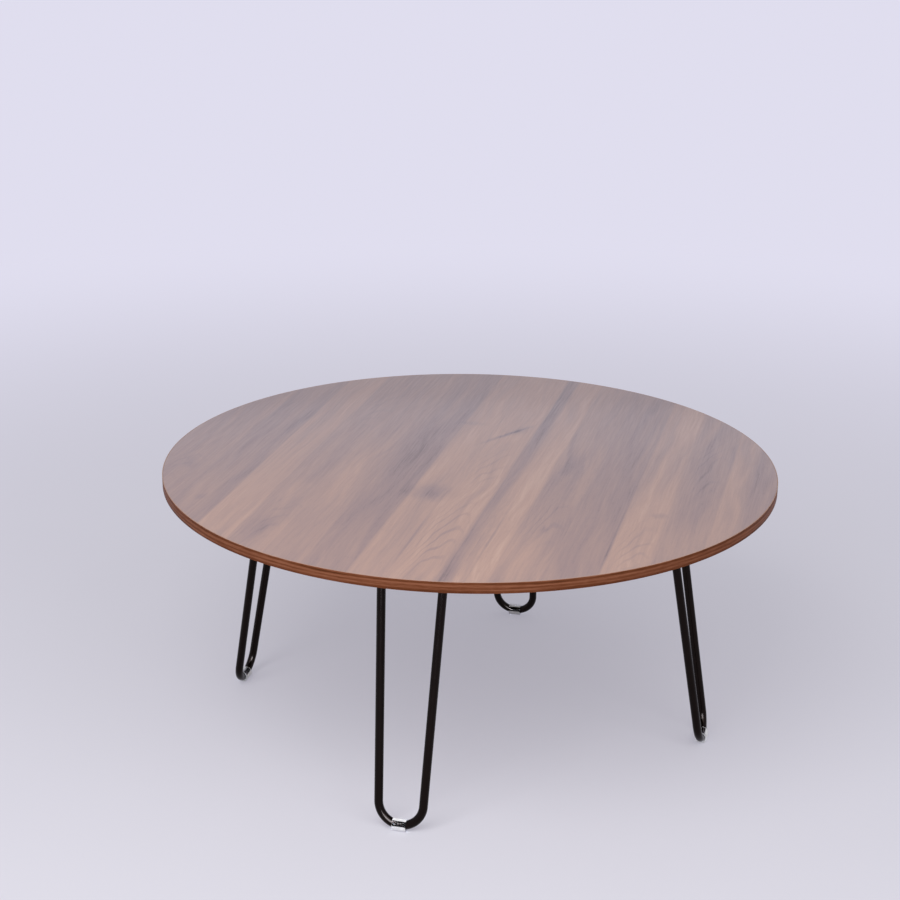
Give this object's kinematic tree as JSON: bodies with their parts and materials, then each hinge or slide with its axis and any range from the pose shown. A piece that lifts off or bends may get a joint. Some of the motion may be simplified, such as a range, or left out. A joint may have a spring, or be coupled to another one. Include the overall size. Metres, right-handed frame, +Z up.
{
  "type": "coffee table",
  "caption": "Low round coffee table: thin wood-print laminated top with a brown edge band, on splayed hairpin legs of bent black bar with screwed plates and clear foot sleeves.",
  "frame": {"origin": "on the floor, under the middle of the top", "axes": "+Z up; -Y towards the front leg, +X towards the right leg; the grain of the top runs along Y"},
  "size_m": [0.8, 0.8, 0.364],
  "materials": {
    "walnut_laminate": "satin wood-print laminate in plank pattern",
    "fibreboard": "raw medium-density fibreboard",
    "backing_sheet": "matt brown balancing sheet",
    "edge_band": "satin wood-print edge band with lengthwise grain",
    "black_powder_coat": "satin black powder coat",
    "black_screw": "black oxide",
    "clear_vinyl": "clear flexible vinyl"
  },
  "bodies": {
    "root": {"top_laminate": "walnut_laminate", "core_board": "fibreboard", "backing_sheet": "backing_sheet", "edge_band": "edge_band", "mounting_plate_front": "black_powder_coat", "mounting_plate_right": "black_powder_coat", "mounting_plate_back": "black_powder_coat", "mounting_plate_left": "black_powder_coat", "hairpin_rod_front": "black_powder_coat", "hairpin_rod_right": "black_powder_coat", "hairpin_rod_back": "black_powder_coat", "hairpin_rod_left": "black_powder_coat", "foot_sleeve_front": "clear_vinyl", "foot_sleeve_right": "clear_vinyl", "foot_sleeve_back": "clear_vinyl", "foot_sleeve_left": "clear_vinyl", "screw_front_1": "black_screw", "screw_front_2": "black_screw", "screw_front_3": "black_screw", "screw_front_4": "black_screw", "screw_front_5": "black_screw", "screw_right_1": "black_screw", "screw_right_2": "black_screw", "screw_right_3": "black_screw", "screw_right_4": "black_screw", "screw_right_5": "black_screw", "screw_back_1": "black_screw", "screw_back_2": "black_screw", "screw_back_3": "black_screw", "screw_back_4": "black_screw", "screw_back_5": "black_screw", "screw_left_1": "black_screw", "screw_left_2": "black_screw", "screw_left_3": "black_screw", "screw_left_4": "black_screw", "screw_left_5": "black_screw"}
  },
  "joints": []
}
